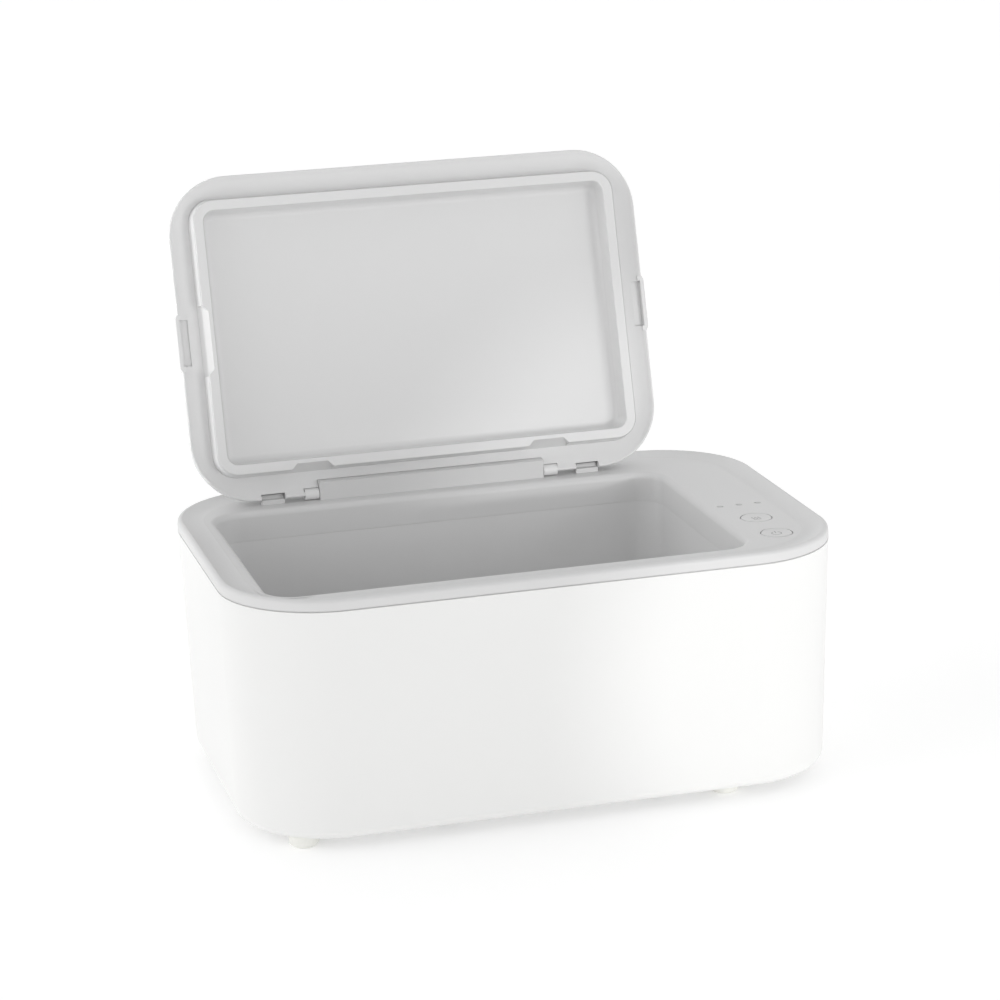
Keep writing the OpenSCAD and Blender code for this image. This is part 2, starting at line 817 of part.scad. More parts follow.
// Slots for the fingertips in both sides of the rim
module finger_slots() {
    for (s = [-1, 1])
        translate([tub_x + s * (lid_w / 2 - slot_out - slot_w / 2), lid_y, rim_z + (slot_h - cut) / 2])
            cube([slot_w, finger_l, slot_h + cut], center = true);
}

module lid_shell() {
    color(grey) in_place() lid_place() difference() {
        union() {
            translate([tub_x, lid_y, 0]) {
                around(lid_w, lid_d, lid_r) dome_profile();
                translate([0, 0, lid_top - lid_t])
                    slab(lid_w - 2 * dome_r, lid_d - 2 * dome_r, lid_r - dome_r, lid_t);
            }
            lid_lugs();
            finger_bulges();
        }
        bar_sweep();
        stop_notches();
        finger_slots();
        translate([tub_x, pin_y, pin_z]) rotate([0, 90, 0])
            cylinder(h = pin_l + 1, r = pin_d / 2 + pin_fit, center = true);
    }
}

// What the hollow under the rim and the shell's wall take off the frame
module frame_cut_profile() {
    in_reach = cove_in + cove_w;
    intersection() {
        cove_arc();
        translate([-in_reach - 1, rim_z - cut]) square([in_reach + 2, cove + 1]);
    }
    translate([-in_reach - 6, rim_z - cut]) square([6, cove + cut]);
    difference() {
        translate([-dome_r, rim_z - cut]) square([dome_r + 1, lid_h + 2 * cut]);
        translate([-dome_r - 1, rim_z - 2 * cut])
            square([dome_r + 1 - lid_t - seat, dome_z - rim_z + 2 * cut]);
        translate([-dome_r, dome_z]) circle(dome_r - lid_t - seat);
    }
}

// Web between the shell and the liner, with closed rooms for the hinge bar,
// the lugs and the stop blocks
module lid_frame() {
    color(grey) in_place() lid_place()
        difference() {
            union() {
                translate([tub_x, lid_y, 0]) around(lid_w, lid_d, lid_r)
                    translate([-cove_in - cove_w - 4, rim_z]) square([cove_in + cove_w + 4, web_z - rim_z]);
                hinge_rooms();
                stop_rooms();
            }
            translate([tub_x, lid_y, 0]) around(lid_w, lid_d, lid_r) frame_cut_profile();
            translate([tub_x, liner_y, rim_z - cut])
                slab(liner_w + 2 * liner_base + 2 * seat, liner_d + 2 * liner_base + 2 * seat,
                    liner_r + liner_base + seat, far);
            bar_sweep();
            stop_notches();
            finger_slots();
            translate([tub_x, pin_y, pin_z]) rotate([0, 90, 0])
                cylinder(h = pin_l + 1, r = lug_r + gap, center = true);
        }
}

// Walls round the hinge bar and round the lugs
module hinge_rooms() {
    intersection() {
        translate([tub_x, pin_y, pin_z]) rotate([0, 90, 0]) union() {
            cylinder(h = bar_w + 2 * (gap + close_t), r = sweep_r + close_t, center = true);
            cylinder(h = pin_l + 1 + 2 * close_t, r = lug_r + gap + close_t, center = true);
        }
        translate([tub_x - far / 2, lid_back - far, web_z - 1]) cube(far);
    }
}

// Walls round the notches for the stop blocks
module stop_rooms() {
    room_w = stop_w + 2 * (gap + close_t);
    for (s = [-1, 1])
        translate([tub_x + s * stop_x - room_w / 2, pin_y - notch_front - close_t, web_z - 1])
            cube([room_w, notch_front + close_t + 1, pin_z + notch_roof + close_t - web_z + 1]);
}

// Rim and tray of the liner in one moulding, with a ledge behind the frame
module liner_profile() {
    inner = -liner_rim - liner_lean;
    roof = tray_z + 1.6;
    difference() {
        polygon([[0, liner_z], [liner_base, rim_z + cove], [liner_base, web_z], [liner_base + 3, web_z],
            [liner_base + 3, web_z + 1.6], [liner_base, web_z + 1.6], [inner + 2, roof],
            [inner - 1, roof], [inner - 1, tray_z], [inner, tray_z], [-liner_rim, liner_z]]);
        round_off([0, liner_z], 90, 180, 0.6);
        round_off([-liner_rim, liner_z], 0, 90, 0.5);
    }
    round_off([inner, tray_z], 180, 360 - atan(tray_depth / liner_lean), tray_r);
}

module lid_liner() {
    floor_in = liner_rim + liner_lean + 0.4;
    color("lightgray") in_place() lid_place()
        difference() {
            translate([tub_x, liner_y, 0]) {
                around(liner_w, liner_d, liner_r) liner_profile();
                translate([0, 0, tray_z])
                    slab(liner_w - 2 * floor_in, liner_d - 2 * floor_in, liner_r - floor_in, 1.6);
            }
            liner_notches();
        }
}

module liner_notches() {
    translate([tub_x - liner_w / 2, lid_y, 0]) rotate([0, 0, -90]) notch(side_notch);
    for (s = [-1, 1])
        translate([tub_x + s * notch_x, liner_y + liner_d / 2, 0]) rotate([0, 0, 180]) notch(rear_notch);
}

// Sloped notch with slanted ends, cut from an outer edge toward +Y
module notch(l) {
    base_z = rim_z + cove;
    slope = (notch_t + liner_base) / (base_z - liner_z);
    intersection() {
        translate([0, 0, liner_z - cut])
            linear_extrude(base_z - liner_z + cut)
                polygon([[-l / 2 - notch_t, 0], [-l / 2, notch_t], [l / 2, notch_t], [l / 2 + notch_t, 0],
                    [l / 2 + notch_t, -3], [-l / 2 - notch_t, -3]]);
        rotate([90, 0, 90]) linear_extrude(far, center = true)
            polygon([[-3, liner_z - cut], [notch_t + cut * slope, liner_z - cut], [-liner_base, base_z],
                [-3, base_z]]);
    }
}

// Key with its retaining flange and the stem that works the switch
module key() {
    top = deck_z + key_proud;
    dish_in = key_d / 2 - 0.8;
    dish_r = (dish_in * dish_in + key_dish * key_dish) / (2 * key_dish);
    rotate_extrude() {
        translate([0, deck_low - 0.05 - key_flange_t]) square([key_d / 2 + 1.6, key_flange_t]);
        difference() {
            translate([0, deck_low - 0.1]) square([key_d / 2, top - deck_low + 0.1]);
            round_off([key_d / 2, top], 180, 270, 0.4);
            translate([0, top - key_dish + dish_r]) circle(dish_r);
        }
        translate([0, board_top + switch_h - stem_in])
            square([stem_d / 2, deck_low - board_top - switch_h]);
    }
}

module power_key() {
    color(grey) in_place() translate([panel_x, power_key_y, 0]) key();
}

module heat_key() {
    color(grey) in_place() translate([panel_x, heat_key_y, 0]) key();
}

outer_casing();
base_plate();
rubber_feet();
base_screws();
top_frame();
frame_screws();
tub();
heat_spreader();
heating_film();
insulation_foam();
thermostat();
thermal_fuse();
control_board();
board_screws();
tact_switches();
indicator_leds();
light_guides();
power_inlet();
heater_leads();
inlet_leads();
hinge_pin();
lid_shell();
lid_frame();
lid_liner();
power_key();
heat_key();
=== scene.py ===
import math
import bmesh
import bpy
from mathutils import Matrix, Vector


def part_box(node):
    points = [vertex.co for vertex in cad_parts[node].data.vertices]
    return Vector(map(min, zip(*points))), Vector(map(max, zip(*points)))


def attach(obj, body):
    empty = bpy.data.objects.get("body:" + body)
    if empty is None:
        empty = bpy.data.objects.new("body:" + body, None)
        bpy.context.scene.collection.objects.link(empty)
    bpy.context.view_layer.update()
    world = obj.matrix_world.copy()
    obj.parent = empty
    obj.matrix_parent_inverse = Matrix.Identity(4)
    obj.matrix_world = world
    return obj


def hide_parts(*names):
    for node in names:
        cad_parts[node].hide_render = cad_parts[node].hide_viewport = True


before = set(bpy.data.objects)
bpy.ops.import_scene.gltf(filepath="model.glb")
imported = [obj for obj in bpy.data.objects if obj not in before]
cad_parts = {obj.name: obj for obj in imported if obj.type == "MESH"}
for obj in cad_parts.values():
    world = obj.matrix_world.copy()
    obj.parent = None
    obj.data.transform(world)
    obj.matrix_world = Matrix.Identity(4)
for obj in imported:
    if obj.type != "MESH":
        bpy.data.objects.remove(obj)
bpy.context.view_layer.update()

mm = 0.001


# Camera
# The view is from a metre and a half away, a little left of the front and
# from above, through a long lens that is tilted by a hair.
def view_axes(azimuth, elevation, tilt):
    """The view's right, up and back directions, from angles in degrees."""
    a, e, t = (math.radians(v) for v in (azimuth, elevation, tilt))
    back = Vector((math.sin(a) * math.cos(e), -math.cos(a) * math.cos(e), math.sin(e)))
    right = Vector((math.cos(a), math.sin(a), 0))
    up = back.cross(right)
    return right * math.cos(t) + up * math.sin(t), up * math.cos(t) - right * math.sin(t), back


body_y = (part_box("outer_casing")[0].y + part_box("outer_casing")[1].y) / 2
camera_place = Vector((-0.3747, -1.3890 + body_y, 0.5294))
azimuth, elevation, tilt = -15.147, 15.535, -1.769
lens = bpy.data.cameras.new("long_lens")
lens.sensor_width = 36
lens.lens = 113.146
camera = bpy.data.objects.new("front_view", lens)
camera_turn = Matrix(view_axes(azimuth, elevation, tilt)).transposed().to_4x4()
camera.matrix_world = Matrix.Translation(camera_place) @ camera_turn
bpy.context.scene.collection.objects.link(camera)
bpy.context.scene.camera = camera
bpy.context.scene.view_settings.view_transform = "Standard"


# Table
# A white photographer's table, lit a little from below, far wider than the
# view. It glows faintly and throws soft light back under the object.
def linear(hex_code):
    """An sRGB hex code as the linear colour that Blender reckons with."""
    parts = [int(hex_code[i:i + 2], 16) / 255 for i in (0, 2, 4)]
    return [c / 12.92 if c <= 0.04045 else ((c + 0.055) / 1.055) ** 2.4 for c in parts] + [1]


table_glow = 0.24
reach = 30
corners = [(-reach, -reach, 0), (reach, -reach, 0), (reach, reach, 0), (-reach, reach, 0)]
table_mesh = bpy.data.meshes.new("table")
table_mesh.from_pydata(corners, [], [(0, 1, 2, 3)])
table = bpy.data.objects.new("table", table_mesh)
bpy.context.scene.collection.objects.link(table)
table_top = bpy.data.materials.new("matt white acrylic")
table_top.use_nodes = True
table_shader = table_top.node_tree.nodes["Principled BSDF"]
table_shader.inputs["Base Color"].default_value = linear("F6F6F6")
table_shader.inputs["Roughness"].default_value = 0.9
table_shader.inputs["Emission Color"].default_value = linear("FFFFFF")
table_shader.inputs["Emission Strength"].default_value = table_glow
table_mesh.materials.append(table_top)


# Studio light
# A white tent, brighter at its low sides and rear than overhead, with a soft
# lamp low at the front. A narrow lamp rakes the lid from the left, and a spot
# lights the right end and the lid's lower right corner.
def add(tree, kind, links=None, inputs=None, **settings):
    """Adds a node, sets its options and its sockets, and links it."""
    node = tree.nodes.new(kind)
    for name, value in settings.items():
        setattr(node, name, value)
    for name, value in (inputs or {}).items():
        node.inputs[name].default_value = value
    for name, source in (links or {}).items():
        tree.links.new(source, node.inputs[name])
    return node


def lamp(name, kind, place, aim, watts, **settings):
    """An area lamp or a spot that points from its place at its aim."""
    light = bpy.data.lights.new(name, kind)
    light.energy = watts
    for key, value in settings.items():
        setattr(light, key, value)
    stand = bpy.data.objects.new(name, light)
    stand.location = place
    stand.rotation_euler = (Vector(aim) - Vector(place)).to_track_quat("-Z", "Y").to_euler()
    bpy.context.scene.collection.objects.link(stand)


lamp("low front lamp", "AREA", place=(0.9, -1.6, 0.35), aim=(0, 0, 0.12), watts=5.2, size=0.5)
lamp("raking lamp", "AREA", place=(-1.5, 0.086, 0.235), aim=(-0.1, 0.086, 0.235), watts=0.032,
     shape="RECTANGLE", size=0.03, size_y=0.18, spread=math.radians(14))
lamp("corner spot", "SPOT", place=(0.62, -2.05, 0.22), aim=(0.124, 0.045, 0.055), watts=29,
     spot_size=math.radians(7.8), spot_blend=0.08, shadow_soft_size=0.03)

# Each wall has the direction of its middle, its falloff and its strength.
tent_walls = {
    "overhead": ((0, 0, 1), 1, 0.38),
    "rear": ((0, 1, 0), 1, 1.08),
    "low left": ((-1, 0, 0.15), 6, 2.5),
    "low right": ((1, 0, 0.15), 6, 0.3),
    "high right": ((0.7, -0.2, 0.7), 6, 0.64),
    "low front": ((0, -1, 0.15), 6, 0.92),
    "left front": ((-0.5, -0.85, 0.15), 6, 0.15)}
tent = bpy.data.worlds.new("light tent")
bpy.context.scene.world = tent
tent.use_nodes = True
tree = tent.node_tree
tree.nodes["Background"].inputs["Color"].default_value = linear("FFFFFF")
outward = add(tree, "ShaderNodeTexCoord").outputs["Generated"]
glow = None
for middle, falloff, strength in tent_walls.values():
    facing = add(tree, "ShaderNodeVectorMath", {0: outward}, {1: Vector(middle).normalized()},
                 operation="DOT_PRODUCT").outputs["Value"]
    near = add(tree, "ShaderNodeMath", {0: facing}, {1: 0.0}, operation="MAXIMUM").outputs[0]
    wall = add(tree, "ShaderNodeMath", {0: near}, {1: falloff}, operation="POWER").outputs[0]
    lit = add(tree, "ShaderNodeMath", {0: wall}, {1: strength, 2: 0.0}, operation="MULTIPLY_ADD")
    if glow:
        tree.links.new(glow, lit.inputs[2])
    glow = lit.outputs[0]
tree.links.new(glow, tree.nodes["Background"].inputs["Strength"])


# Casing
# The white shell is one injection moulding in ABS, with rounded corners and
# a ledge inside its lower edge. A fine eroded grain gives it a satin sheen.
def start_finish(name):
    """A new material, its tree, its shader and where the piece is in metres."""
    material = bpy.data.materials.new(name)
    material.use_nodes = True
    tree = material.node_tree
    place = add(tree, "ShaderNodeTexCoord").outputs["Object"]
    return material, tree, tree.nodes["Principled BSDF"], place


first_colour, second_colour, mixed_colour = 6, 7, 2


def two_tone(tree, factor, first, second):
    """A colour that goes from the first to the second with the factor. The
    three numbers above are a Mix node's sockets when it mixes colours."""
    tone = add(tree, "ShaderNodeMix", {"Factor": factor}, data_type="RGBA")
    tone.inputs[first_colour].default_value = first
    tone.inputs[second_colour].default_value = second
    return tone.outputs[mixed_colour]


def darker(shade, share):
    """A share of the light of a shade."""
    return [c * share for c in linear(shade)[:3]] + [1]


def moulded_plastic(name, shade, roughness, grain, depth, edge=0.25):
    """Plastic from an eroded mould. The real grain is about a third of this
    size. It is drawn coarser, so that it shows. Outer edges are eased. The
    grain, its depth and the edge are in millimetres."""
    material, tree, shader, place = start_finish(name)
    flow = add(tree, "ShaderNodeTexNoise", {"Vector": place}, {"Scale": 14.0, "Detail": 3.0})
    tone = two_tone(tree, flow.outputs["Fac"], darker(shade, 0.975), linear(shade))
    tree.links.new(tone, shader.inputs["Base Color"])
    pits = add(tree, "ShaderNodeTexNoise", {"Vector": place}, {"Scale": 1 / (grain * mm), "Detail": 2.0})
    eased = add(tree, "ShaderNodeBevel", inputs={"Radius": edge * mm}, samples=4)
    bump = add(tree, "ShaderNodeBump", {"Height": pits.outputs["Fac"], "Normal": eased.outputs["Normal"]},
               {"Strength": 0.35, "Distance": depth * mm})
    tree.links.new(bump.outputs["Normal"], shader.inputs["Normal"])
    sheen = add(tree, "ShaderNodeMapRange", {"Value": pits.outputs["Fac"]},
                {"From Min": 0.3, "From Max": 0.7,
                 "To Min": roughness - 0.05, "To Max": roughness + 0.05})
    tree.links.new(sheen.outputs["Result"], shader.inputs["Roughness"])
    shader.inputs["IOR"].default_value = 1.5
    return material


def finish_node(name, material):
    """Gives a CAD node its material."""
    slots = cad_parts[name].data.materials
    slots.clear()
    slots.append(material)


white_abs = moulded_plastic("white ABS, satin moulded", "EAEAE9", roughness=0.38, grain=0.9, depth=0.02)
finish_node("outer_casing", white_abs)


# Base plate
# A flat ABS moulding closes the shell from below. Its ribs hold the heater
# up against the tub, and it keeps the same grain as the casing.
finish_node("base_plate", white_abs)


# Feet
# Four pads of thermoplastic rubber, turned to a soft round at the bottom,
# are glued into shallow seats. The rubber is matt and slightly yellow.
def turned_tree(name, outline, facets, rings, cross):
    """Round pieces, all alike, one at each point of the mesh that comes in.
    The outline gives the radius along the height, both from 0 to 1. A cross
    is two bars cut into the lower end. Edges past the sharp bend stay sharp."""
    bar_share = 0.28
    sharp_bend = 0.6
    tree = bpy.data.node_groups.new(name, "GeometryNodeTree")
    tree.interface.new_socket("Geometry", in_out="INPUT", socket_type="NodeSocketGeometry")
    for label in ("Radius", "Height", "Cross"):
        tree.interface.new_socket(label, in_out="INPUT", socket_type="NodeSocketFloat")
    tree.interface.new_socket("Material", in_out="INPUT", socket_type="NodeSocketMaterial")
    tree.interface.new_socket("Geometry", in_out="OUTPUT", socket_type="NodeSocketGeometry")
    sizes = add(tree, "NodeGroupInput").outputs
    blank = add(tree, "GeometryNodeMeshCylinder", {"Radius": sizes["Radius"], "Depth": sizes["Height"]},
                {"Vertices": facets, "Side Segments": rings})
    position = add(tree, "GeometryNodeInputPosition")
    where = add(tree, "ShaderNodeSeparateXYZ", {"Vector": position.outputs[0]})
    up = add(tree, "ShaderNodeMath", {0: where.outputs["Z"], 1: sizes["Height"]}, operation="DIVIDE")
    level = add(tree, "ShaderNodeMath", {0: up.outputs[0]}, {1: 0.5}, operation="ADD")
    curve = add(tree, "ShaderNodeFloatCurve", {"Value": level.outputs[0]})
    points = curve.mapping.curves[0].points
    points[0].location, points[-1].location = outline[0], outline[-1]
    for spot in outline[1:-1]:
        points.new(*spot)
    for point in points:
        point.handle_type = "VECTOR"
    curve.mapping.update()
    lift = add(tree, "ShaderNodeMath", {0: level.outputs[0], 1: sizes["Height"]}, operation="MULTIPLY")
    turned = {axis: add(tree, "ShaderNodeMath", {0: where.outputs[axis], 1: curve.outputs[0]},
                        operation="MULTIPLY").outputs[0] for axis in "XY"}
    place = add(tree, "ShaderNodeCombineXYZ", {**turned, "Z": lift.outputs[0]})
    piece = add(tree, "GeometryNodeSetPosition",
                {"Geometry": blank.outputs["Mesh"], "Position": place.outputs[0]})
    shape = piece.outputs[0]
    if cross:
        long = sizes["Cross"]
        thick = add(tree, "ShaderNodeMath", {0: long}, {1: bar_share}, operation="MULTIPLY").outputs[0]
        cut = add(tree, "GeometryNodeMeshBoolean", {"Mesh 1": shape}, operation="DIFFERENCE")
        for wide, deep in ((thick, long), (long, thick)):
            size = add(tree, "ShaderNodeCombineXYZ", {"X": wide, "Y": deep, "Z": thick})
            bar = add(tree, "GeometryNodeMeshCube", {"Size": size.outputs[0]})
            tree.links.new(bar.outputs["Mesh"], cut.inputs["Mesh 2"])
        shape = cut.outputs["Mesh"]
    bend = add(tree, "GeometryNodeInputMeshEdgeAngle")
    soft = add(tree, "ShaderNodeMath", {0: bend.outputs["Unsigned Angle"]}, {1: sharp_bend},
               operation="LESS_THAN")
    smooth = add(tree, "GeometryNodeSetShadeSmooth", {"Geometry": shape, "Shade Smooth": soft.outputs[0]},
                 domain="EDGE")
    spots = add(tree, "GeometryNodeMeshToPoints", {"Mesh": sizes["Geometry"]})
    copies = add(tree, "GeometryNodeInstanceOnPoints",
                 {"Points": spots.outputs[0], "Instance": smooth.outputs[0]})
    real = add(tree, "GeometryNodeRealizeInstances", {"Geometry": copies.outputs[0]})
    coat = add(tree, "GeometryNodeSetMaterial", {"Geometry": real.outputs[0], "Material": sizes["Material"]})
    add(tree, "NodeGroupOutput", {"Geometry": coat.outputs[0]})
    return tree


def grow(name, tree, places, material, **sizes):
    """Runs a tree on the given points and keeps the result as a plain mesh."""
    seeds = bpy.data.meshes.new(name + "_places")
    seeds.from_pydata(places, [], [])
    host = bpy.data.objects.new(name + "_places", seeds)
    bpy.context.scene.collection.objects.link(host)
    maker = host.modifiers.new("maker", "NODES")
    maker.node_group = tree
    for socket in tree.interface.items_tree:
        if socket.in_out == "INPUT" and socket.name in sizes:
            maker[socket.identifier] = float(sizes[socket.name])
        if socket.in_out == "INPUT" and socket.name == "Material":
            maker[socket.identifier] = material
    view = bpy.context.evaluated_depsgraph_get()
    mesh = bpy.data.meshes.new_from_object(host.evaluated_get(view))
    mesh.name = name
    piece = bpy.data.objects.new(name, mesh)
    bpy.context.scene.collection.objects.link(piece)
    bpy.data.objects.remove(host)
    return piece


def at(*spots, z):
    """Points in metres from places in millimetres on the body."""
    return [Vector((x * mm, y * mm + body_y, z * mm)) for x, y in spots]


def soft_rubber(name, shade):
    """Thermoplastic rubber: matt, with the faint mottle of its mould."""
    material, tree, shader, place = start_finish(name)
    mottle = add(tree, "ShaderNodeTexNoise", {"Vector": place}, {"Scale": 900.0, "Detail": 3.0})
    tone = two_tone(tree, mottle.outputs["Fac"], darker(shade, 0.92), linear(shade))
    tree.links.new(tone, shader.inputs["Base Color"])
    bump = add(tree, "ShaderNodeBump", {"Height": mottle.outputs["Fac"]},
               {"Strength": 0.3, "Distance": 0.03 * mm})
    tree.links.new(bump.outputs["Normal"], shader.inputs["Normal"])
    shader.inputs["Roughness"].default_value = 0.72
    shader.inputs["IOR"].default_value = 1.52
    return material


low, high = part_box("rubber_feet")
foot_r = 7.0 * mm
foot_round = [(0.0, 0.66), (0.04, 0.78), (0.1, 0.87), (0.18, 0.94), (0.28, 0.985), (0.36, 1.0), (1.0, 1.0)]
foot_spots = [Vector((x, y, low.z)) for x in (low.x + foot_r, high.x - foot_r)
              for y in (low.y + foot_r, high.y - foot_r)]
foot_rubber = soft_rubber("pale thermoplastic rubber, moulded", "EDEDE8")
foot_tree = turned_tree("turned foot", foot_round, facets=64, rings=48, cross=False)
feet = grow("rubber_feet_turned", foot_tree, foot_spots, foot_rubber, Radius=foot_r, Height=high.z - low.z)
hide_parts("rubber_feet")
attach(feet, "body")


# Screws
# Zinc-plated steel screws with low pan heads and a cross recess hold the
# plate, the top frame and the board. All are driven upward from below.
def bright_metal(name, shade, roughness, streak):
    """Metal with fine streaks along X from rolling, drawing or turning. A
    streak's width is in millimetres."""
    material, tree, shader, place = start_finish(name)
    fine = 1 / (streak * mm)
    stretch = add(tree, "ShaderNodeMapping", {"Vector": place}, {"Scale": (80.0, fine, fine)})
    lines = add(tree, "ShaderNodeTexNoise", {"Vector": stretch.outputs[0]}, {"Scale": 1.0, "Detail": 3.0})
    wear = add(tree, "ShaderNodeMapRange", {"Value": lines.outputs["Fac"]},
               {"From Min": 0.3, "From Max": 0.7,
                "To Min": roughness - 0.08, "To Max": roughness + 0.1})
    tree.links.new(wear.outputs["Result"], shader.inputs["Roughness"])
    bump = add(tree, "ShaderNodeBump", {"Height": lines.outputs["Fac"]},
               {"Strength": 0.2, "Distance": 0.01 * mm})
    tree.links.new(bump.outputs["Normal"], shader.inputs["Normal"])
    shader.inputs["Base Color"].default_value = linear(shade)
    shader.inputs["Metallic"].default_value = 1.0
    return material


zinc = bright_metal("zinc-plated steel, turned", "C9CBCE", roughness=0.32, streak=0.2)
# All in millimetres. A screw's z is its lowest point, the face of its head.
screws = {
    "base_screws": dict(spots=[(-125.48, 4), (125.48, 4), (-50, -78.98), (50, -78.98),
                               (-50, 78.98), (50, 78.98)],
                        z=5.5, head_r=2.6, head_h=1.2, shank_r=1.2, length=10.2),
    "frame_screws": dict(spots=[(-135, -34), (-135, 34), (136, -42), (136, 38), (-70, 88.5), (70, 88.5)],
                         z=98.0, head_r=2.6, head_h=2.0, shank_r=1.2, length=14.0),
    "board_screws": dict(spots=[(107.2, -75.2), (124.4, -75.2), (107.2, 27.9), (124.4, 27.9)],
                         z=105.0, head_r=2.0, head_h=1.4, shank_r=0.95, length=8.0)}
for node, s in screws.items():
    neck = s["head_h"] / s["length"]
    slim = s["shank_r"] / s["head_r"]
    pan = [(0.0, 0.74), (neck * 0.3, 0.9), (neck * 0.65, 0.985), (neck * 0.98, 1.0), (neck, slim),
           (0.93, slim), (1.0, slim * 0.55)]
    screw_tree = turned_tree("turned " + node.replace("_", " "), pan, facets=32, rings=60, cross=True)
    piece = grow(node + "_turned", screw_tree, at(*s["spots"], z=s["z"]), zinc,
                 Radius=s["head_r"] * mm, Height=s["length"] * mm, Cross=s["head_r"] * 1.1 * mm)
    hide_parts(node)
    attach(piece, "body")


# Top frame
# The grey band, lip, deck and hinge bar are one ABS moulding that drops onto
# the casing. A fine matt grain keeps fingerprints off the deck.
grey_abs = moulded_plastic("grey ABS, matt moulded", "D6D6D6",
                           roughness=0.46, grain=0.8, depth=0.03, edge=0.45)
finish_node("top_frame", grey_abs)


# Tub
# The heated tub is a polypropylene moulding that hangs under the frame's
# collar. Polypropylene is a little waxy, so its sheen is broad.
grey_pp = moulded_plastic("grey polypropylene, matt moulded", "DADADA",
                          roughness=0.52, grain=0.9, depth=0.03)
finish_node("tub", grey_pp)


# Heater
# A mill-finish aluminium sheet spreads the heat of an amber polyimide film
# with an etched track. Closed-cell foam presses both against the tub.
finish_node("heat_spreader", bright_metal("aluminium sheet, mill finish", "D5D6D8",
                                          roughness=0.36, streak=0.5))

film, tree, shader, place = start_finish("polyimide film, etched track")
track = add(tree, "ShaderNodeTexWave", {"Vector": place}, {"Scale": 50.0, "Distortion": 0.0},
            wave_type="BANDS", bands_direction="Y", wave_profile="SIN")
track_edge = 0.55
on_track = add(tree, "ShaderNodeMath", {0: track.outputs["Fac"]}, {1: track_edge}, operation="GREATER_THAN")
amber = two_tone(tree, on_track.outputs[0], linear("B5631C"), linear("7A4A22"))
tree.links.new(amber, shader.inputs["Base Color"])
shader.inputs["Roughness"].default_value = 0.28
shader.inputs["IOR"].default_value = 1.7
finish_node("heating_film", film)

foam, tree, shader, place = start_finish("closed-cell foam, cut")
cells = add(tree, "ShaderNodeTexVoronoi", {"Vector": place}, {"Scale": 1 / (1.1 * mm)})
# The cut cells are a real pattern, but each is painted darker towards its middle, where the bump sinks a
# pit: painted shade in the pits.
painted_pit_shade = add(tree, "ShaderNodeMapRange", {"Value": cells.outputs["Distance"]},
           {"From Min": 0.0, "From Max": 0.8, "To Min": 0.0, "To Max": 1.0})
charcoal_with_pit_shade = two_tone(tree, painted_pit_shade.outputs["Result"], linear("2C2C2E"), linear("4A4A4D"))
tree.links.new(charcoal_with_pit_shade, shader.inputs["Base Color"])
bump = add(tree, "ShaderNodeBump", {"Height": cells.outputs["Distance"]},
           {"Strength": 0.6, "Distance": 0.2 * mm})
tree.links.new(bump.outputs["Normal"], shader.inputs["Normal"])
shader.inputs["Roughness"].default_value = 0.9
finish_node("insulation_foam", foam)


# Thermostat and fuse
# A bimetal thermostat in a black phenolic case and a ceramic thermal fuse
# sit in the foam's windows, right under the film.
black_case = moulded_plastic("black phenolic resin, moulded", "1E1E20",
                             roughness=0.4, grain=0.8, depth=0.02)
finish_node("thermostat", black_case)

ceramic, tree, shader, place = start_finish("steatite ceramic, glazed")
speck = add(tree, "ShaderNodeTexNoise", {"Vector": place}, {"Scale": 1400.0, "Detail": 2.0})
cream = two_tone(tree, speck.outputs["Fac"], linear("D8D2C4"), linear("EDE8DC"))
tree.links.new(cream, shader.inputs["Base Color"])
shader.inputs["Roughness"].default_value = 0.22
shader.inputs["Coat Weight"].default_value = 0.5
finish_node("thermal_fuse", ceramic)


# Control board
# A green fibreglass board hangs under the side deck. Its regulator, its
# capacitor and two plugs are on the underside, all in black resin.
board_low = 106.4 * mm
just_under = 0.02 * mm
board_finish, tree, shader, place = start_finish("glass epoxy board, solder mask")
height = add(tree, "ShaderNodeSeparateXYZ", {"Vector": place}).outputs["Z"]
is_board = add(tree, "ShaderNodeMath", {0: height}, {1: board_low - just_under}, operation="GREATER_THAN")
grid = add(tree, "ShaderNodeTexBrick", {"Vector": place}, {"Scale": 90.0, "Mortar Size": 0.03})
grid.inputs["Color1"].default_value = linear("1F6B3A")
grid.inputs["Color2"].default_value = linear("237541")
grid.inputs["Mortar"].default_value = linear("2F8A50")
tone = add(tree, "ShaderNodeMix", {"Factor": is_board.outputs[0], second_colour: grid.outputs["Color"]},
           {first_colour: linear("26262A")}, data_type="RGBA")
tree.links.new(tone.outputs[mixed_colour], shader.inputs["Base Color"])
shader.inputs["Roughness"].default_value = 0.33
shader.inputs["IOR"].default_value = 1.55
finish_node("control_board", board_finish)


# Switches and lamps
# Two tact switches stand under the keys, and three small lamps under the
# light guides, each in its own resin body.
finish_node("tact_switches", black_case)
clear_resin, tree, shader, place = start_finish("white lamp resin, cast")
haze = add(tree, "ShaderNodeTexNoise", {"Vector": place}, {"Scale": 1200.0})
milk = two_tone(tree, haze.outputs["Fac"], linear("E9E4C4"), linear("F6F3DD"))
tree.links.new(milk, shader.inputs["Base Color"])
shader.inputs["Roughness"].default_value = 0.2
finish_node("indicator_leds", clear_resin)


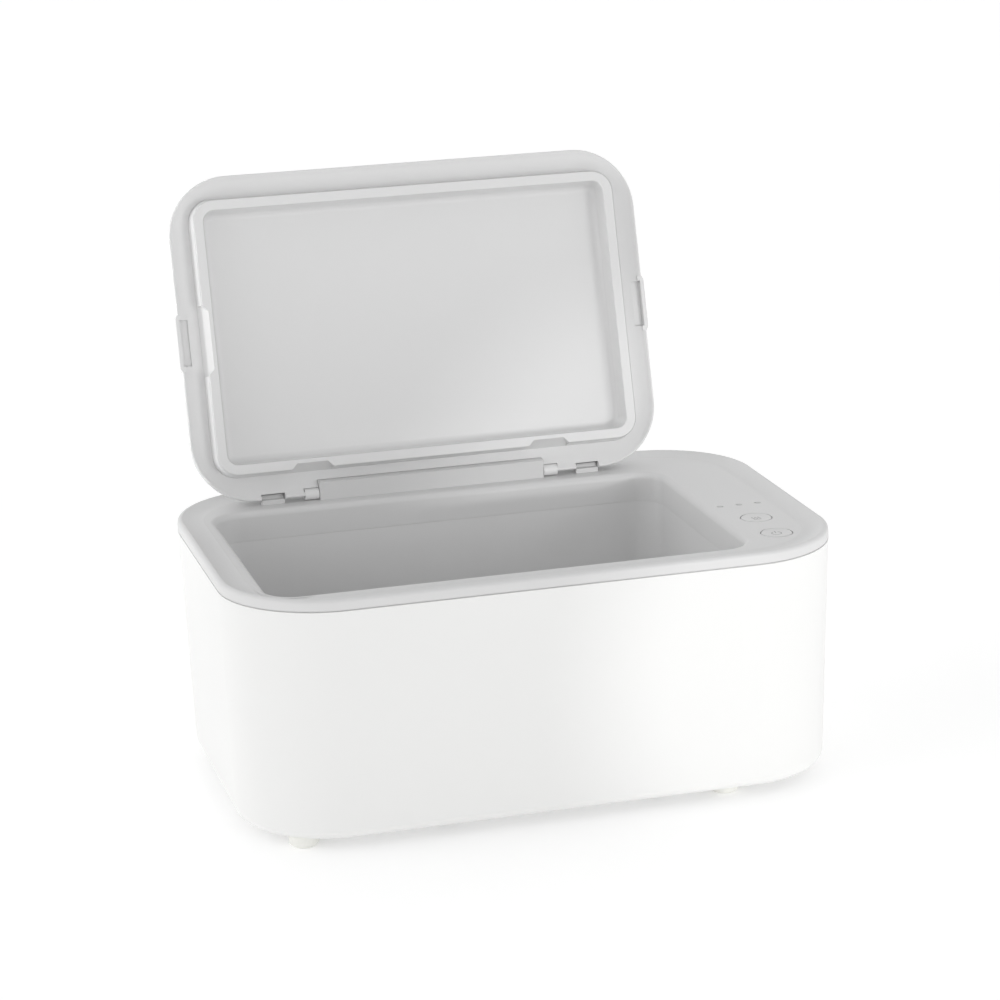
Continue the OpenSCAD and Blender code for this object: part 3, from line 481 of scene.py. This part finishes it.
# Light guides
# Three frosted acrylic pins carry the lamps' light up to the deck. Unlit,
# each shows as a small dull dot with a shallow round top.
acrylic, tree, shader, place = start_finish("smoked acrylic, frosted")
frost = add(tree, "ShaderNodeTexNoise", {"Vector": place}, {"Scale": 1500.0, "Detail": 2.0})
smoke = two_tone(tree, frost.outputs["Fac"], linear("B4B4B4"), linear("C2C2C2"))
tree.links.new(smoke, shader.inputs["Base Color"])
shader.inputs["Roughness"].default_value = 0.35
shader.inputs["IOR"].default_value = 1.49
guide_x, guide_y, guide_pitch = 116.9, -12.7, 9.5
guide_low, guide_top, guide_r = 109.7, 118.4, 1.5
lens_round = [(0.0, 1.0), (0.955, 1.0), (0.975, 0.95), (0.99, 0.75), (1.0, 0.35)]
guide_spots = at(*[(guide_x + i * guide_pitch, guide_y) for i in (-1, 0, 1)], z=guide_low)
guide_tree = turned_tree("turned light guide", lens_round, facets=40, rings=90, cross=False)
guides = grow("light_guides_turned", guide_tree, guide_spots, acrylic,
              Radius=guide_r * mm, Height=(guide_top - guide_low) * mm)
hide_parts("light_guides")
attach(guides, "body")


# Supply socket and wires
# The barrel socket is a black PBT moulding round a nickel-plated contact.
# The heater's wires have red silicone jackets, the supply's black vinyl ones.
inlet_x, inlet_z, contact_r = 84 * mm, 24 * mm, 1.1 * mm
socket, tree, shader, place = start_finish("black PBT, moulded, with a nickel contact")
parts = add(tree, "ShaderNodeSeparateXYZ", {"Vector": place})
flat = add(tree, "ShaderNodeCombineXYZ", {"X": parts.outputs["X"], "Z": parts.outputs["Z"]})
off = add(tree, "ShaderNodeVectorMath", {0: flat.outputs[0]}, {1: (inlet_x, 0, inlet_z)},
          operation="DISTANCE")
metal = add(tree, "ShaderNodeMath", {0: off.outputs["Value"]}, {1: contact_r}, operation="LESS_THAN")
tree.links.new(metal.outputs[0], shader.inputs["Metallic"])
black_or_nickel = two_tone(tree, metal.outputs[0], linear("202022"), linear("CFCCC4"))
tree.links.new(black_or_nickel, shader.inputs["Base Color"])
shader.inputs["Roughness"].default_value = 0.36
finish_node("power_inlet", socket)
finish_node("heater_leads", moulded_plastic("red silicone jacket, extruded", "9C2A22",
                                            roughness=0.5, grain=0.6, depth=0.02, edge=0.05))
finish_node("inlet_leads", moulded_plastic("black vinyl jacket, extruded", "1B1B1D",
                                           roughness=0.42, grain=0.6, depth=0.02, edge=0.05))


# Hinge pin
# A ground steel pin runs through the frame's hinge bar, and the lid's lugs
# turn on its ends.
finish_node("hinge_pin", bright_metal("ground steel", "BFC1C4", roughness=0.22, streak=0.15))


# Lid
# The dome, the web under its rim and the liner are polypropylene mouldings,
# welded into one lid. Each weld is flush, so that no seam shows on the rim.
def round_off(form, crease):
    """Shades a form smooth, with sharp edges where it bends past the crease."""
    for face in form.faces:
        face.smooth = True
    for seam in form.edges:
        if len(seam.link_faces) == 2 and seam.calc_face_angle(0) > math.radians(crease):
            seam.smooth = False


def welded(node, lift, material):
    """A merged copy of a node. Its side walls are moved out to the weld, and
    its edge round the hinge bar is drawn closer to the bar."""
    form = bmesh.new()
    form.from_mesh(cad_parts[node].data)
    bmesh.ops.remove_doubles(form, verts=form.verts, dist=same_spot)
    form.normal_update()
    moves = {}
    for vert in form.verts:
        walls = [face.normal for face in vert.link_faces if abs(face.normal.dot(lid_facing)) < steep]
        if walls:
            moves[vert] = sum(walls, Vector()).normalized() * lift
    for vert, move in moves.items():
        vert.co += move
    for vert in form.verts:
        off = Vector((0, vert.co.y - pin.y, vert.co.z - pin.z))
        if abs(off.length - sweep_r) < on_sweep and abs(vert.co.x - pin.x) < bar_half:
            vert.co -= off.normalized() * sweep_close
    round_off(form, 28)
    mesh = bpy.data.meshes.new(node + "_welded")
    form.to_mesh(mesh)
    form.free()
    mesh.materials.append(material)
    piece = bpy.data.objects.new(node + "_welded", mesh)
    bpy.context.scene.collection.objects.link(piece)
    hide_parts(node)
    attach(piece, "lid")


# The open lid leans back, and its inner face looks along lid_facing. A side
# wall is one that looks that way by less than the steep share. The web's
# edge round the hinge bar lies at sweep_r from the pin's axis.
lid_lean = math.radians(16.2)
lid_facing = Vector((0, -math.cos(lid_lean), math.sin(lid_lean)))
lid_gap = 0.1 * mm
same_spot = 0.001 * mm
steep = 0.4
pin = sum(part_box("hinge_pin"), Vector()) / 2
bar_half, sweep_r, on_sweep, sweep_close = 57.6 * mm, 6.9 * mm, 0.15 * mm, 0.3 * mm
lid_pp = moulded_plastic("light grey polypropylene, satin moulded", "E3E3E3",
                         roughness=0.42, grain=0.9, depth=0.02)
rim_pp = moulded_plastic("light grey polypropylene, welded rim", "E3E3E3",
                         roughness=0.42, grain=0.9, depth=0.02, edge=0.04)
welded("lid_frame", lid_gap, rim_pp)
finish_node("lid_shell", rim_pp)
finish_node("lid_liner", lid_pp)


# Keys
# Each key is a dished ABS cap that slides in a round hole in the deck. Its
# sign is printed in a darker grey, and is a common one.
def turned_mesh(name, profile, facets):
    """A closed round solid from a profile of radii and heights in mm."""
    form = bmesh.new()
    rings = []
    for radius, height in profile:
        if radius == 0:
            rings.append([form.verts.new((0, 0, height * mm))])
            continue
        rings.append([form.verts.new((radius * mm * math.cos(2 * math.pi * i / facets),
                                      radius * mm * math.sin(2 * math.pi * i / facets), height * mm))
                      for i in range(facets)])
    for lower, upper in zip(rings, rings[1:]):
        for i in range(facets):
            j = (i + 1) % facets
            if len(lower) == 1:
                form.faces.new((lower[0], upper[j], upper[i]))
            elif len(upper) == 1:
                form.faces.new((lower[i], lower[j], upper[0]))
            else:
                form.faces.new((lower[i], lower[j], upper[j], upper[i]))
    round_off(form, 35)
    mesh = bpy.data.meshes.new(name)
    form.to_mesh(mesh)
    form.free()
    return mesh


def key_top(radius):
    """Height of the dished top at a distance from the key's middle."""
    return max(0.0, dish_r - math.sqrt(max(0.0, dish_r ** 2 - radius ** 2)))


key_r, key_crown, key_dish, edge_r = 7.4, 118.6, 0.5, 0.8
dish_in = key_r - 0.9
dish_r = (dish_in ** 2 + key_dish ** 2) / (2 * key_dish)
dish_steps, edge_steps = 12, 6
top_curve = [(r, key_crown - key_dish + key_top(r))
             for r in [dish_in * k / dish_steps for k in range(dish_steps + 1)]]
round_edge = [(key_r - edge_r + edge_r * math.sin(a), key_crown - edge_r + edge_r * math.cos(a))
              for a in [math.radians(90 * k / edge_steps) for k in range(edge_steps + 1)]]
stem = [(0, 111.0), (1.5, 111.0), (1.6, 111.1), (1.6, 114.55)]
flange = [(8.8, 114.55), (9.0, 114.7), (9.0, 115.8), (8.85, 115.95), (key_r, 115.95)]
profile = stem + flange + round_edge[::-1] + top_curve[::-1]


def printed_stroke(form, path, width, lift=0.035, sunk=0.05):
    """Adds one raised line of print that follows the dish of the key."""
    half = width / 2
    rows = []
    for i, (x, y) in enumerate(path):
        before, after = path[max(0, i - 1)], path[min(len(path) - 1, i + 1)]
        run = Vector((after[0] - before[0], after[1] - before[1])).normalized()
        side = Vector((-run.y, run.x)) * half
        row = []
        for sx, rise in ((1, -sunk), (1, lift), (-1, lift), (-1, -sunk)):
            px, py = x + sx * side.x, y + sx * side.y
            base = key_crown - key_dish + key_top(math.hypot(px, py))
            row.append(form.verts.new((px * mm, py * mm, (base + rise) * mm)))
        rows.append(row)
    for a, b in zip(rows, rows[1:]):
        for k in range(4):
            form.faces.new((a[k], a[(k + 1) % 4], b[(k + 1) % 4], b[k]))
    form.faces.new(rows[0][::-1])
    form.faces.new(rows[-1])


def arc(radius, start, end, steps=28):
    """Points on an arc round the key's middle, between two angles in degrees."""
    angles = [math.radians(start + (end - start) * k / steps) for k in range(steps + 1)]
    return [(radius * math.cos(a), radius * math.sin(a)) for a in angles]


key_cap = moulded_plastic("grey ABS key cap, matt moulded", "D5D5D5",
                          roughness=0.42, grain=0.7, depth=0.02)
print_ink = moulded_plastic("grey pad-print ink", "A0A0A0",
                            roughness=0.55, grain=0.6, depth=0.005, edge=0.02)
wave_places, wave_swing, wave_low, wave_rise = (-1.5, 0.0, 1.5), 0.35, -1.2, 0.42
heat_waves = [[(x + wave_swing * math.sin(k * 0.9), wave_low + k * wave_rise) for k in range(8)]
              for x in wave_places]
signs = {
    "power_key": [arc(2.3, 120, 420), [(0.0, 1.0), (0.0, 3.2)]],
    "heat_key": [[(-1.9, -2.2), (0.0, -2.2), (1.9, -2.2)]] + heat_waves}
key_places = {"power_key": (116.9, -64.6), "heat_key": (116.9, -37.1)}
stroke_width = 0.45
for name, (x, y) in key_places.items():
    move = Matrix.Translation((x * mm, y * mm + body_y, 0))
    cap_mesh = turned_mesh(name + "_cap", profile, facets=96)
    cap_mesh.transform(move)
    cap_mesh.materials.append(key_cap)
    cap = bpy.data.objects.new(name + "_cap", cap_mesh)
    bpy.context.scene.collection.objects.link(cap)
    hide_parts(name)
    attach(cap, name)
    form = bmesh.new()
    for path in signs[name]:
        printed_stroke(form, path, stroke_width)
    bmesh.ops.recalc_face_normals(form, faces=form.faces)
    sign_mesh = bpy.data.meshes.new(name + "_sign")
    form.to_mesh(sign_mesh)
    form.free()
    sign_mesh.transform(move)
    sign_mesh.materials.append(print_ink)
    sign = bpy.data.objects.new(name + "_sign", sign_mesh)
    bpy.context.scene.collection.objects.link(sign)
    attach(sign, name)
